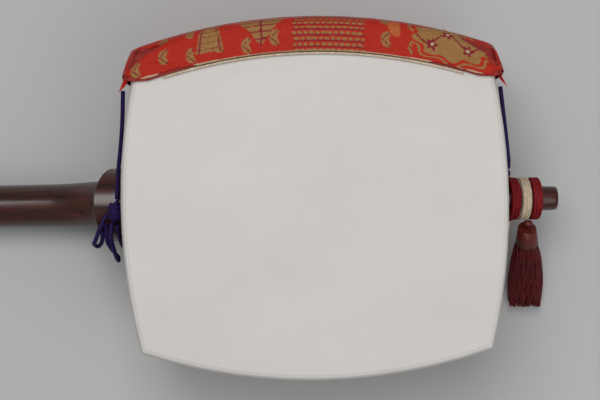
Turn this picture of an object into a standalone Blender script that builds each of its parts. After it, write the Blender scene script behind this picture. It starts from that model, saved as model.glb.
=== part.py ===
"""Builds a three-piece shamisen that lies face down.

Its back looks up at +Z, its neck runs to -X, and the brocade arm rest is on its +Y side.
Every length is in metres. Plan positions are measured from the middle of the body.
"""

import math

import bmesh
import bpy
from mathutils import Matrix, Vector

# Fits
FIT_GAP = 0.0003
STRING_GAP = 0.0002

# Body: four mitred boards that are barrelled in depth, with a skin over each open side
FRAME_LENGTH = 0.2026
FRAME_WIDTH = 0.1866
BOARD_DEPTH = 0.090
BOARD_WALL = 0.0125
BARREL_BULGE = 0.0045
LONG_BULGE = 0.0155
END_BULGE = 0.0097
RIM_ROUND = 0.0015
SKIN_THICKNESS = 0.0007
SKIN_SKIRT = 0.0110
PATCH_WIDTH = 0.084
PATCH_DEPTH = 0.032
PATCH_THICKNESS = 0.0003

# Bridge, whose top edge is the lowest part of the instrument as it lies
BRIDGE_HEIGHT = 0.0100
BRIDGE_FOOT_WIDTH = 0.0760
BRIDGE_TOP_WIDTH = 0.0300
BRIDGE_THICKNESS = 0.0050
BRIDGE_TO_TAIL = 0.0450
BRIDGE_ARCH_WIDTH = 0.0160
BRIDGE_ARCH_HEIGHT = 0.0030

# Neck
NECK_LENGTH = 0.6240
NECK_WIDTH_AT_BODY = 0.0242
NECK_WIDTH_AT_NUT = 0.0225
NECK_THICKNESS = 0.0255
FINGERBOARD_RISE = 0.0050
LOWER_NECK_LENGTH = 0.2090
MIDDLE_NECK_LENGTH = 0.2100
TENON_LENGTH = 0.0340
TENON_WIDTH = 0.0120
TENON_HEIGHT = 0.0110
HEEL_LENGTH = 0.0180
HEEL_WIDTH = 0.0418
HEEL_DEPTH = 0.0480
HEEL_LEAN = 0.43
SCOOP_LENGTH = 0.0330
THROAT_DROP = 0.0037
THROAT_LENGTH = 0.0260

# Spike, in one piece with the lower neck, and the tip that comes out of the tail board
SPIKE_WIDTH = 0.0180
SPIKE_HEIGHT = 0.0250
SPIKE_FROM_FRONT = 0.0145
TIP_DIAMETER = 0.0140
TIP_REACH = 0.0320
TIP_FROM_FRONT = 0.0320
TIP_ROUND = 0.0022

# Head
HEAD_LENGTH = 0.1550
HEAD_BULB_WIDTH = 0.0336
PEGBOX_WIDTH = 0.0240
PEGBOX_SLOT = 0.0124
PEGBOX_START = 0.0440
PEGBOX_END = 0.1160
HEAD_TAIL_WIDTH = 0.0520
HEAD_TAIL_RISE = 0.0300
NUT_LENGTH = 0.0030
NUT_WIDTH = 0.0130
NUT_RISE = 0.0010
NUT_SEAT = 0.0012

# Pegs
PEG_PLACES = (0.0540, 0.1020, 0.0780)
PEG_SIDES = (1, 1, -1)
PEG_REACH = 0.1270
PEG_HANDLE_SIZE = 0.0290
PEG_HANDLE_ROOT = 0.0150
PEG_SHAFT_THICK = 0.0104
PEG_SHAFT_THIN = 0.0080
PEG_OVERHANG = 0.0040
PEG_CLEARANCE = 0.0004
PEG_FLOOR_GAP = 0.0004
FERRULE_DIAMETER = 0.0164
FERRULE_THICKNESS = 0.0010
WINDING_WIDTH = 0.0026
WINDING_DEPTH = 0.0012
WINDING_PLACES = (0.0038, 0.0, -0.0038)

# Strings, from the thickest to the thinnest
STRING_DIAMETERS = (0.00095, 0.00068, 0.00052)
STRINGS_AT_NUT = (0.0063, 0.0, -0.0063)
STRINGS_AT_BRIDGE = (0.0080, 0.0, -0.0080)

# Arm rest
REST_CLEARANCE = 0.0024
REST_SKIN_GAP = 0.0004
REST_LINING = 0.0003
REST_CORE = 0.0008
REST_BROCADE = 0.0009
REST_CORNER = 0.0918
REST_BEND = 0.0040
REST_END_ANGLE = math.radians(70)
REST_END_LENGTH = 0.0140
REST_FOLD = 0.0035
REST_FLAP = 0.0127
REST_FLAP_HALF_ANGLE = math.radians(18.6)
PIPING_DIAMETER = 0.0012

# Silk cords and the tailpiece
CORD_DIAMETER = 0.0023
NEO_BAND_WIDTH = 0.0053
NEO_BAND_GAP = 0.0006
NEO_BAND_THICKNESS = 0.0040
NEO_FROM_BOARD = 0.0057
NEO_TILT = 0.0013
NEO_FRONT_LENGTH = 0.0180
WHITE_CORD_DIAMETER = 0.0012
TASSEL_DIAMETER = 0.0130

# How finely curves are cut
ARC_STEPS = 12
ROUND_STEPS = 14

# Heights that follow from the sizes above
FRONT_SKIN_Z = BRIDGE_HEIGHT
BOARD_FRONT_Z = FRONT_SKIN_Z + SKIN_THICKNESS + FIT_GAP
BOARD_BACK_Z = BOARD_FRONT_Z + BOARD_DEPTH
BACK_SKIN_Z = BOARD_BACK_Z + FIT_GAP + SKIN_THICKNESS
MIDDLE_Z = (BOARD_FRONT_Z + BOARD_BACK_Z) / 2
FINGERBOARD_Z = FRONT_SKIN_Z - FINGERBOARD_RISE
HEEL_BACK_Z = FINGERBOARD_Z + HEEL_DEPTH
SPIKE_FRONT_Z = FRONT_SKIN_Z + SPIKE_FROM_FRONT
TIP_Z = FRONT_SKIN_Z + TIP_FROM_FRONT
PEG_Z = PEG_FLOOR_GAP + PEG_HANDLE_SIZE / 2 * math.cos(math.radians(30))

# Places along the instrument that follow from the sizes above
BODY_END = FRAME_LENGTH / 2
NUT_X = -BODY_END - NECK_LENGTH
HEAD_END_X = NUT_X - HEAD_LENGTH
TIP_END_X = BODY_END + TIP_REACH
BRIDGE_X = BODY_END - BRIDGE_TO_TAIL
BODY_CENTRE = Vector((-(HEAD_END_X + TIP_END_X) / 2, 0, 0))


class PlanArc:
    """The plan curve of one body board, which looks along +Y and is centred on the Y axis."""

    def __init__(self, reach, half_chord, bulge):
        self.reach = reach
        self.half_chord = half_chord
        self.radius = (half_chord**2 + bulge**2) / (2 * bulge)
        self.centre = reach - self.radius

    def normal_at_corner(self):
        """The arc's outward direction where it ends, on its +X side."""
        angle = math.asin(self.half_chord / self.radius)
        return Vector((math.sin(angle), math.cos(angle)))

    def point(self, angle, radius):
        return Vector((radius * math.sin(angle), self.centre + radius * math.cos(angle)))


LONG_ARC = PlanArc(FRAME_WIDTH / 2, FRAME_LENGTH / 2 - END_BULGE, LONG_BULGE)
END_ARC = PlanArc(FRAME_LENGTH / 2, FRAME_WIDTH / 2 - LONG_BULGE, END_BULGE)


def barrel_drop(z):
    """How far the boards' outer face lies inside its widest line at this height."""
    return BARREL_BULGE * ((z - MIDDLE_Z) / (BOARD_DEPTH / 2)) ** 2


def board_face(y, z):
    """How far the end boards' outer face stands from the body's middle, along the instrument."""
    radius = END_ARC.radius - barrel_drop(z)
    return END_ARC.centre + math.sqrt(radius**2 - y**2)


def clear_scene():
    for thing in list(bpy.data.objects):
        bpy.data.objects.remove(thing, do_unlink=True)


def make_collection(name):
    collection = bpy.data.collections.new(name)
    bpy.context.scene.collection.children.link(collection)
    return collection


def finish(name, colour, roughness, metallic=0.0):
    """A Principled material with one colour."""
    material = bpy.data.materials.new(name)
    material.use_nodes = True
    shader = material.node_tree.nodes["Principled BSDF"]
    shader.inputs["Base Color"].default_value = (*colour, 1)
    shader.inputs["Roughness"].default_value = roughness
    shader.inputs["Metallic"].default_value = metallic
    material.diffuse_color = (*colour, 1)
    return material


class Workshop:
    """Holds the collections and the parent that every piece is placed under."""

    def __init__(self):
        self.parts = make_collection("shamisen")
        self.cutters = make_collection("cutters")
        self.root = bpy.data.objects.new("body_centre", None)
        self.root.location = BODY_CENTRE
        self.parts.objects.link(self.root)
        self.rosewood = finish("oiled rosewood", (0.075, 0.022, 0.014), 0.28)
        self.boards = finish("quince wood", (0.20, 0.065, 0.028), 0.42)
        self.skin = finish("drum skin", (0.64, 0.60, 0.55), 0.62)
        self.ivory = finish("pale horn", (0.74, 0.68, 0.52), 0.35)
        self.brass = finish("brass", (0.72, 0.50, 0.20), 0.3, 1.0)
        self.silk = finish("string silk", (0.78, 0.66, 0.30), 0.5)
        self.brocade = finish("red brocade", (0.40, 0.035, 0.02), 0.6)
        self.board = finish("pressed board", (0.06, 0.03, 0.02), 0.8)
        self.lining = finish("cream lining", (0.55, 0.47, 0.34), 0.8)
        self.purple = finish("purple silk cord", (0.035, 0.015, 0.10), 0.6)
        self.red = finish("red silk cord", (0.42, 0.02, 0.02), 0.6)
        self.cream = finish("cream silk cord", (0.62, 0.50, 0.34), 0.6)
        self.fringe = finish("dark red silk", (0.16, 0.01, 0.012), 0.6)

    def add(self, name, data, material, location=(0, 0, 0)):
        """A named piece of the instrument, placed from the body's middle."""
        data.materials.clear()
        data.materials.append(material)
        piece = bpy.data.objects.new(name, data)
        piece.parent = self.root
        piece.location = location
        self.parts.objects.link(piece)
        return piece

    def add_cutter(self, name, mesh, location=(0, 0, 0)):
        """A shape that only cuts, so it is left out of renders."""
        cutter = bpy.data.objects.new(name, mesh)
        cutter.parent = self.root
        cutter.location = location
        cutter.hide_render = True
        cutter.display_type = "WIRE"
        self.cutters.objects.link(cutter)
        return cutter


def cut(piece, cutter):
    """Takes the cutter's shape out of the piece."""
    modifier = piece.modifiers.new("cut " + cutter.name, "BOOLEAN")
    modifier.operation = "DIFFERENCE"
    modifier.object = cutter


def bevel(piece, width, angle=50):
    """Breaks the piece's sharp edges."""
    modifier = piece.modifiers.new("eased edges", "BEVEL")
    modifier.width = width
    modifier.segments = 1
    modifier.angle_limit = math.radians(angle)


def mesh_from(shape, name, smooth=40):
    """A mesh from an edited shape, with its faces turned out."""
    bmesh.ops.recalc_face_normals(shape, faces=shape.faces)
    mesh = bpy.data.meshes.new(name)
    shape.to_mesh(mesh)
    shape.free()
    mesh.shade_smooth()
    mesh.set_sharp_from_angle(angle=math.radians(smooth))
    return mesh


def bridge_rings(shape, rings, around=True):
    """Makes faces between neighbouring rings of points, and returns the rings' vertices."""
    made = [[shape.verts.new(point) for point in ring] for ring in rings]
    for first, second in zip(made, made[1:]):
        count = len(first)
        for i in range(count if around else count - 1):
            j = (i + 1) % count
            shape.faces.new((first[i], first[j], second[j], second[i]))
    return made


def loft(name, rings):
    """A closed mesh through rings of points, with a flat cap on each end."""
    shape = bmesh.new()
    made = bridge_rings(shape, rings)
    shape.faces.new(made[0])
    shape.faces.new(reversed(made[-1]))
    return mesh_from(shape, name)


def box_mesh(name, size):
    shape = bmesh.new()
    bmesh.ops.create_cube(shape, size=1)
    bmesh.ops.scale(shape, vec=Vector(size), verts=shape.verts)
    return mesh_from(shape, name)


def cone_mesh(name, start_radius, end_radius, depth, steps=24):
    """A round cutter or pin along its own Y axis."""
    shape = bmesh.new()
    bmesh.ops.create_cone(
        shape, cap_ends=True, segments=steps, radius1=start_radius, radius2=end_radius, depth=depth
    )
    bmesh.ops.rotate(shape, matrix=Matrix.Rotation(math.radians(-90), 3, "X"), verts=shape.verts)
    return mesh_from(shape, name)


def ball_mesh(name, radii):
    shape = bmesh.new()
    bmesh.ops.create_uvsphere(shape, u_segments=12, v_segments=8, radius=1)
    bmesh.ops.scale(shape, vec=Vector(radii), verts=shape.verts)
    return mesh_from(shape, name)


def tube_curve(name, points, diameter, closed=False, rings=2):
    """A cord or a string: a round tube through the points."""
    curve = bpy.data.curves.new(name, "CURVE")
    curve.dimensions = "3D"
    curve.bevel_depth = diameter / 2
    curve.bevel_resolution = rings
    curve.use_fill_caps = True
    spline = curve.splines.new("POLY")
    spline.points.add(len(points) - 1)
    for point, place in zip(spline.points, points):
        point.co = (*place, 1)
    spline.use_cyclic_u = closed
    return curve


def through(points, spacing):
    """Points every so often along a smooth curve through the given ones."""
    places = [Vector(point) for point in points]
    ends = [2 * places[0] - places[1]] + places + [2 * places[-1] - places[-2]]
    found = [places[0]]
    for before, start, end, after in zip(ends, ends[1:], ends[2:], ends[3:]):
        steps = max(1, round((end - start).length / spacing))
        for step in range(1, steps + 1):
            t = step / steps
            found.append(
                0.5
                * (
                    2 * start
                    + (end - before) * t
                    + (2 * before - 5 * start + 4 * end - after) * t**2
                    + (3 * start - before - 3 * end + after) * t**3
                )
            )
    return found


# ---------------------------------------------------------------- body


def board_profile():
    """A board's cross-section at its middle: the barrelled face outside, a straight wall inside."""
    outer = []
    for step in range(7):
        z = BOARD_FRONT_Z + RIM_ROUND + (BOARD_DEPTH - 2 * RIM_ROUND) * step / 6
        outer.append((-barrel_drop(z), z))
    rim = -BARREL_BULGE
    inner = rim - BOARD_WALL
    return (
        [(inner, BOARD_FRONT_Z), (rim - RIM_ROUND, BOARD_FRONT_Z)]
        + outer
        + [(rim - RIM_ROUND, BOARD_BACK_Z), (inner, BOARD_BACK_Z)]
    )


def body_board(shop, name, arc, other, turn):
    """One board: its cross-section spun about the plan arc's centre and cut on the mitres."""
    shape = bmesh.new()
    corners = [shape.verts.new((0, arc.reach + out, z)) for out, z in board_profile()]
    face = shape.faces.new(corners)
    sweep = math.asin(arc.half_chord / arc.radius) + math.radians(4)
    centre = Vector((0, arc.centre, 0))
    bmesh.ops.rotate(
        shape, cent=centre, matrix=Matrix.Rotation(sweep, 3, "Z"), verts=shape.verts
    )
    bmesh.ops.spin(
        shape,
        geom=[face, *face.edges, *face.verts],
        cent=centre,
        axis=(0, 0, 1),
        angle=-2 * sweep,
        steps=ARC_STEPS,
    )
    towards = arc.normal_at_corner() + other.normal_at_corner().yx
    for side in (1, -1):
        normal = Vector((side * towards.y, -towards.x, 0)).normalized()
        corner_y = arc.centre + math.sqrt(arc.radius**2 - arc.half_chord**2)
        corner = Vector((side * arc.half_chord, corner_y, 0))
        bmesh.ops.bisect_plane(
            shape,
            geom=[*shape.verts, *shape.edges, *shape.faces],
            plane_co=corner - normal * FIT_GAP / 2,
            plane_no=normal,
            clear_outer=True,
        )
        rim = [edge for edge in shape.edges if edge.is_boundary]
        if side == 1:
            rim = [edge for edge in rim if edge.verts[0].co.x > 0]
        bmesh.ops.holes_fill(shape, edges=rim, sides=0)
    bmesh.ops.rotate(shape, matrix=Matrix.Rotation(turn, 3, "Z"), verts=shape.verts)
    return shop.add(name, mesh_from(shape, name), shop.boards)


def arc_crossing(out_long, out_end):
    """The corner of the plan outline, with each pair of arcs moved out by its own amount."""
    first = Vector((0, LONG_ARC.centre))
    second = Vector((END_ARC.centre, 0))
    first_radius = LONG_ARC.radius + out_long
    second_radius = END_ARC.radius + out_end
    between = second - first
    distance = between.length
    along = (first_radius**2 - second_radius**2 + distance**2) / (2 * distance)
    across = math.sqrt(first_radius**2 - along**2)
    middle = first + between * along / distance
    return middle + Vector((between.y, -between.x)) * across / distance


def outline_ring(offset, z):
    """The body's outline at this height, a little way out from the boards' faces."""
    out = offset - barrel_drop(z)
    corner = arc_crossing(out, out)
    quarter = []
    for arc, limit, flip in ((LONG_ARC, corner.x, False), (END_ARC, corner.y, True)):
        radius = arc.radius + out
        end = math.asin(limit / radius)
        steps = ARC_STEPS // 2
        points = [arc.point(end * step / steps, radius) for step in range(steps + 1)]
        if flip:
            points = [point.yx for point in reversed(points)]
        quarter += points[1:] if flip else points
    half = quarter + [Vector((point.x, -point.y)) for point in reversed(quarter[:-1])]
    return [(x, y, z) for x, y in half] + [(-x, y, z) for x, y in reversed(half[1:-1])]


def body_skin(shop, name, side):
    """A skin: flat over the boards' rims, then down their outer faces as a skirt."""
    rim_z = BOARD_BACK_Z if side > 0 else BOARD_FRONT_Z
    slant = (RIM_ROUND + FIT_GAP) * math.sqrt(0.5)
    levels = (
        (-RIM_ROUND, -FIT_GAP),
        (slant - RIM_ROUND, RIM_ROUND - slant),
        (FIT_GAP, RIM_ROUND),
        (FIT_GAP, SKIN_SKIRT / 2),
        (FIT_GAP, SKIN_SKIRT),
    )
    shape = bmesh.new()
    rings = [outline_ring(out, rim_z - side * down) for out, down in levels]
    made = bridge_rings(shape, rings)
    lid = shape.faces.new(made[0])
    bmesh.ops.recalc_face_normals(shape, faces=shape.faces)
    lid.normal_update()
    if lid.normal.z * side < 0:
        bmesh.ops.reverse_faces(shape, faces=shape.faces)
    mesh = bpy.data.meshes.new(name)
    shape.to_mesh(mesh)
    shape.free()
    skin = shop.add(name, mesh, shop.skin)
    shell = skin.modifiers.new("skin thickness", "SOLIDIFY")
    shell.thickness = SKIN_THICKNESS
    shell.offset = 1
    shell.use_even_offset = True
    return skin


def plectrum_patch(shop):
    """The half-moon of skin that takes the plectrum's blows, under the arm rest on the front."""
    top = FRAME_WIDTH / 2 - REST_FLAP - 0.010
    points = [(-PATCH_WIDTH / 2, 0), (PATCH_WIDTH / 2, 0)]
    for step in range(1, ROUND_STEPS):
        angle = math.pi * step / ROUND_STEPS
        points.append((PATCH_WIDTH / 2 * math.cos(angle), -PATCH_DEPTH * math.sin(angle)))
    back = FRONT_SKIN_Z - FIT_GAP
    rings = [[(x, top + y, z) for x, y in points] for z in (back, back - PATCH_THICKNESS)]
    shop.add("plectrum_patch", loft("plectrum_patch", rings), shop.skin)


def build_body(shop):
    half = math.pi / 2
    body_board(shop, "rest_side_board", LONG_ARC, END_ARC, 0)
    body_board(shop, "lap_side_board", LONG_ARC, END_ARC, 2 * half)
    neck_board = body_board(shop, "neck_side_board", END_ARC, LONG_ARC, half)
    tail_board = body_board(shop, "tail_side_board", END_ARC, LONG_ARC, -half)
    spike_hole = box_mesh(
        "spike_hole",
        (0.06, SPIKE_WIDTH + 2 * FIT_GAP, SPIKE_HEIGHT + 2 * FIT_GAP),
    )
    place = (-BODY_END, 0, SPIKE_FRONT_Z + SPIKE_HEIGHT / 2)
    cut(neck_board, shop.add_cutter("spike_hole", spike_hole, place))
    tip_hole = cone_mesh("tip_hole", TIP_DIAMETER / 2 + FIT_GAP, TIP_DIAMETER / 2 + FIT_GAP, 0.06)
    hole = shop.add_cutter("tip_hole", tip_hole, (BODY_END, 0, TIP_Z))
    hole.rotation_euler.z = math.radians(90)
    cut(tail_board, hole)
    body_skin(shop, "back_skin", 1)
    body_skin(shop, "front_skin", -1)
    plectrum_patch(shop)


# ---------------------------------------------------------------- neck


def neck_section(front_half, front_z, side_half, side_z, back_z):
    """A neck cross-section: flat in front, straight sides, a half-ellipse at the back."""
    waist = (front_half + 2 * side_half) / 3
    waist_z = (front_z + side_z) / 2
    points = [(-front_half, front_z), (0, front_z), (front_half, front_z), (waist, waist_z)]
    for step in range(9):
        angle = math.pi * step / 8
        out = side_half * math.cos(angle)
        points.append((out, side_z + (back_z - side_z) * math.sin(angle)))
    return points + [(-waist, waist_z)]


def straight_section(half_width, front_z, back_z):
    """A rectangle with the same points as neck_section, for tenons and the spike."""
    middle = (front_z + back_z) / 2
    points = [(-half_width, front_z), (0, front_z), (half_width, front_z), (half_width, middle)]
    for step in range(9):
        points.append((half_width * (1 - step / 4), back_z))
    return points + [(-half_width, middle)]


def round_section(radius, centre_z):
    """A circle with the same points as neck_section, for the tip."""
    angles = [-135, -90, -45, -22] + [22.5 * step for step in range(9)] + [202]
    return [
        (radius * math.cos(math.radians(a)), centre_z + radius * math.sin(math.radians(a)))
        for a in angles
    ]


def at(x, section):
    return [(x, y, z) for y, z in section]


def neck_width(x):
    """The neck's width, which tapers from the body to the nut."""
    share = (x - NUT_X) / NECK_LENGTH
    return NECK_WIDTH_AT_NUT + (NECK_WIDTH_AT_BODY - NECK_WIDTH_AT_NUT) * share


def plain_neck(x):
    half = neck_width(x) / 2
    side_z = FINGERBOARD_Z + NECK_THICKNESS * 0.5
    back_z = FINGERBOARD_Z + NECK_THICKNESS
    return neck_section(half - 0.0004, FINGERBOARD_Z, half, side_z, back_z)


def tenon_rings(x):
    """The tenon that a section pushes into the next one, towards the body."""
    front = FINGERBOARD_Z + (NECK_THICKNESS - TENON_HEIGHT) / 2
    section = straight_section(TENON_WIDTH / 2, front, front + TENON_HEIGHT)
    return [at(x, section), at(x + TENON_LENGTH, section)]


def cut_socket(shop, piece, x):
    """Cuts the socket for the tenon that comes in at x."""
    depth = TENON_LENGTH + 2 * FIT_GAP
    size = (depth * 2, TENON_WIDTH + 2 * FIT_GAP, TENON_HEIGHT + 2 * FIT_GAP)
    name = piece.name + "_socket"
    middle = FINGERBOARD_Z + NECK_THICKNESS / 2
    cut(piece, shop.add_cutter(name, box_mesh(name, size), (x, 0, middle)))


def arris_x(z):
    """The heel's sharp edge, which leans towards the body as it nears the front."""
    return -BODY_END - HEEL_LENGTH + HEEL_LEAN * min(HEEL_BACK_Z - z, HEEL_WIDTH / 2 + 0.006)


def heel_end_x(y, z):
    """Where the heel stops: just off the board, or off the skin's skirt near the front."""
    off = FIT_GAP
    if z < HEEL_BACK_Z - HEEL_WIDTH / 2 + 0.001:
        off += SKIN_THICKNESS + 3 * FIT_GAP
    return -board_face(y, max(z, BOARD_FRONT_Z)) - off


def lower_neck(shop, start):
    """The lowest neck section with its heel, the spike through the body and the round tip."""
    half = NECK_WIDTH_AT_BODY / 2
    front = FINGERBOARD_Z
    throat = FINGERBOARD_Z + THROAT_DROP
    back = FINGERBOARD_Z + NECK_THICKNESS
    heel_side = HEEL_BACK_Z - HEEL_WIDTH / 2
    scoop = -BODY_END - HEEL_LENGTH
    slope = -BODY_END - THROAT_LENGTH
    rings = [at(start, plain_neck(start)), at(scoop - SCOOP_LENGTH, plain_neck(scoop - SCOOP_LENGTH))]
    rings.append(at(scoop - 0.5 * SCOOP_LENGTH, neck_section(half, front, half + 0.0004, front + 0.013, back + 0.002)))
    rings.append(at(slope, neck_section(half, front, half + 0.0012, front + 0.015, back + 0.006)))
    near = neck_section(half, front + THROAT_DROP * 0.4, half + 0.0020, front + 0.019, back + 0.013)
    rings.append([(arris_x(z) - 0.0032, y, z) for y, z in near])
    heel = neck_section(half + 0.0008, throat, HEEL_WIDTH / 2, heel_side, HEEL_BACK_Z)
    rings.append([(arris_x(z), y, z) for y, z in heel])
    rings.append([(heel_end_x(y, z), y, z) for y, z in heel])
    spike = straight_section(SPIKE_WIDTH / 2, SPIKE_FRONT_Z, SPIKE_FRONT_Z + SPIKE_HEIGHT)
    rings.append([(heel_end_x(y, z), y, z) for y, z in spike])
    shoulder = BODY_END - BOARD_WALL - BARREL_BULGE - 0.001
    low = TIP_Z - TIP_DIAMETER / 2 - 0.001
    thin = straight_section(TIP_DIAMETER / 2 + 0.001, low, low + TIP_DIAMETER + 0.002)
    rings.append(at(shoulder, thin))
    tip = TIP_DIAMETER / 2
    rings.append(at(shoulder, round_section(tip, TIP_Z)))
    rings.append(at(TIP_END_X - TIP_ROUND, round_section(tip, TIP_Z)))
    rings.append(at(TIP_END_X - TIP_ROUND * 0.3, round_section(tip - TIP_ROUND * 0.3, TIP_Z)))
    rings.append(at(TIP_END_X, round_section(tip - TIP_ROUND, TIP_Z)))
    piece = shop.add("lower_neck", loft("lower_neck", rings), shop.rosewood)
    cut_socket(shop, piece, start)


def build_neck(shop):
    """The three take-apart sections of the neck."""
    first_joint = -BODY_END - LOWER_NECK_LENGTH
    second_joint = first_joint - MIDDLE_NECK_LENGTH
    lower_neck(shop, first_joint)
    spans = (
        ("middle_neck", second_joint, first_joint - FIT_GAP),
        ("upper_neck", NUT_X, second_joint - FIT_GAP),
    )
    for name, start, end in spans:
        rings = [at(start, plain_neck(start)), at(end, plain_neck(end)), *tenon_rings(end)]
        piece = shop.add(name, loft(name, rings), shop.rosewood)
        cut_socket(shop, piece, start)


# ---------------------------------------------------------------- head


def head_sections():
    """The head's outline: a bulb below the nut, the peg box, then a tail that curls to the back."""
    front = FINGERBOARD_Z
    back = FINGERBOARD_Z + NECK_THICKNESS
    bulb = HEAD_BULB_WIDTH / 2
    box = PEGBOX_WIDTH / 2
    tail = HEAD_TAIL_WIDTH / 2
    rise = HEAD_TAIL_RISE
    return (
        (FIT_GAP, NECK_WIDTH_AT_NUT / 2, front, back),
        (0.0065, NECK_WIDTH_AT_NUT / 2 + 0.0012, front, back),
        (0.0075, NECK_WIDTH_AT_NUT / 2 + 0.0022, front + 0.0030, back),
        (0.0180, bulb, front + 0.0035, back + 0.0005),
        (0.0260, bulb - 0.0008, front + 0.0035, back + 0.0005),
        (0.0360, box + 0.0010, front + 0.0035, back - 0.0005),
        (PEGBOX_START, box, front + 0.0035, back - 0.0010),
        (PEGBOX_START + 0.0015, box, front - 0.0015, back - 0.0010),
        (PEGBOX_END, box, front - 0.0015, back - 0.0010),
        (PEGBOX_END + 0.0080, box + 0.0015, front + 0.0005, back),
        (PEGBOX_END + 0.0190, (box + tail) / 2, front + 0.26 * rise, back + 0.20 * rise),
        (PEGBOX_END + 0.0300, tail - 0.0012, front + 0.62 * rise, back + 0.60 * rise),
        (HEAD_LENGTH, tail, front + 1.10 * rise, back + 0.95 * rise),
    )


def build_head(shop):
    rings = [at(NUT_X - FIT_GAP + TENON_LENGTH, straight_section(*tenon_faces())), at(NUT_X - FIT_GAP, straight_section(*tenon_faces()))]
    for place, half, front_z, back_z in head_sections():
        side_z = front_z + (back_z - front_z) * 0.55
        rings.append(at(NUT_X - place, neck_section(half - 0.0006, front_z, half, side_z, back_z)))
    head = shop.add("head", loft("head", rings), shop.rosewood)
    length = PEGBOX_END - PEGBOX_START
    middle = NUT_X - (PEGBOX_START + PEGBOX_END) / 2
    slot = box_mesh("pegbox_slot", (length, PEGBOX_SLOT, NECK_THICKNESS * 2))
    cut(head, shop.add_cutter("pegbox_slot", slot, (middle, 0, FINGERBOARD_Z + NECK_THICKNESS / 2)))
    seat_size = (NUT_LENGTH + 2 * FIT_GAP, NUT_WIDTH + 2 * FIT_GAP, 2 * (NUT_SEAT + FIT_GAP))
    seat = box_mesh("nut_seat", seat_size)
    nut_place = (NUT_X - 0.0035, -0.0035, FINGERBOARD_Z)
    cut(head, shop.add_cutter("nut_seat", seat, nut_place))
    nut = box_mesh("nut", (NUT_LENGTH, NUT_WIDTH, NUT_RISE + NUT_SEAT))
    height = FINGERBOARD_Z + (NUT_SEAT - NUT_RISE) / 2
    shop.add("nut", nut, shop.brass, (nut_place[0], nut_place[1], height))
    return head


def tenon_faces():
    """The tenon's half width and its front and back heights."""
    front = FINGERBOARD_Z + (NECK_THICKNESS - TENON_HEIGHT) / 2
    return TENON_WIDTH / 2, front, front + TENON_HEIGHT


def shaft_radius(y):
    """The peg shaft's radius, which tapers across the peg box away from its handle."""
    half = PEGBOX_WIDTH / 2
    share = (half - y) / (2 * half)
    return (PEG_SHAFT_THICK + (PEG_SHAFT_THIN - PEG_SHAFT_THICK) * share) / 2


def peg_mesh(name, side):
    """A peg along its own Y axis: a six-sided handle that runs into a tapered round shaft."""
    count = 12

    def ring(y, radius, hexagon):
        points = []
        for i in range(count):
            angle = 2 * math.pi * i / count
            reach = radius * math.cos(math.radians(30)) if hexagon and i % 2 else radius
            points.append((reach * math.cos(angle), side * y, reach * math.sin(angle)))
        return points

    big = PEG_HANDLE_SIZE / 2
    root = PEG_HANDLE_ROOT / 2
    box = PEGBOX_WIDTH / 2 + FERRULE_THICKNESS + 2 * FIT_GAP
    far = -PEGBOX_WIDTH / 2 - PEG_OVERHANG
    rings = [
        ring(PEG_REACH, big * 0.55, True),
        ring(PEG_REACH - 0.003, big * 0.9, True),
        ring(PEG_REACH - 0.008, big, True),
        ring(box + 0.018, root, True),
        ring(box + 0.004, root * 0.92, False),
        ring(box, root * 0.86, False),
        ring(box, shaft_radius(box), False),
        ring(far, shaft_radius(far), False),
    ]
    return loft(name, rings)


def build_pegs(shop, head):
    """Pegs, their holes and ferrules, and the string wound on each."""
    half = PEGBOX_WIDTH / 2
    for number, (place, side) in enumerate(zip(PEG_PLACES, PEG_SIDES), start=1):
        x = NUT_X - place
        name = f"peg_{number}"
        shop.add(name, peg_mesh(name, side), shop.ivory, (x, 0, PEG_Z))
        reach = half + 0.006
        near = shaft_radius(reach) + PEG_CLEARANCE
        far = shaft_radius(-reach) + PEG_CLEARANCE
        hole = cone_mesh(name + "_hole", far, near, 2 * reach)
        cutter = shop.add_cutter(name + "_hole", hole, (x, 0, PEG_Z))
        cutter.rotation_euler.z = 0 if side > 0 else math.pi
        cut(head, cutter)
        for cheek in (1, -1):
            inner = shaft_radius(cheek * side * half) + PEG_CLEARANCE
            ferrule = bmesh.new()
            add_ring(ferrule, Vector(), inner, FERRULE_DIAMETER / 2, FERRULE_THICKNESS)
            label = f"ferrule_{number}_{'handle' if cheek == side else 'far'}"
            middle = (x, cheek * (half + FIT_GAP + FERRULE_THICKNESS / 2), PEG_Z)
            shop.add(label, mesh_from(ferrule, label), shop.brass, middle)
        winding = bmesh.new()
        string_y = WINDING_PLACES[number - 1]
        shaft = shaft_radius(side * string_y) + STRING_GAP + 0.0001
        add_ring(winding, Vector((0, string_y, 0)), shaft, shaft + WINDING_DEPTH, WINDING_WIDTH)
        wound = mesh_from(winding, f"winding_{number}")
        shop.add(f"winding_{number}", wound, shop.silk, (x, 0, PEG_Z))


def add_ring(shape, middle, inner, outer, width, steps=16):
    """Adds a flat ring about the Y direction."""
    profile = ((inner, -width / 2), (outer, -width / 2), (outer, width / 2), (inner, width / 2))
    rows = []
    for step in range(steps):
        angle = 2 * math.pi * step / steps
        out = Vector((math.cos(angle), 0, math.sin(angle)))
        rows.append([shape.verts.new(middle + out * r + Vector((0, y, 0))) for r, y in profile])
    for first, second in zip(rows, rows[1:] + rows[:1]):
        for i in range(4):
            j = (i + 1) % 4
            shape.faces.new((first[i], first[j], second[j], second[i]))


# ---------------------------------------------------------------- bridge and strings


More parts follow.
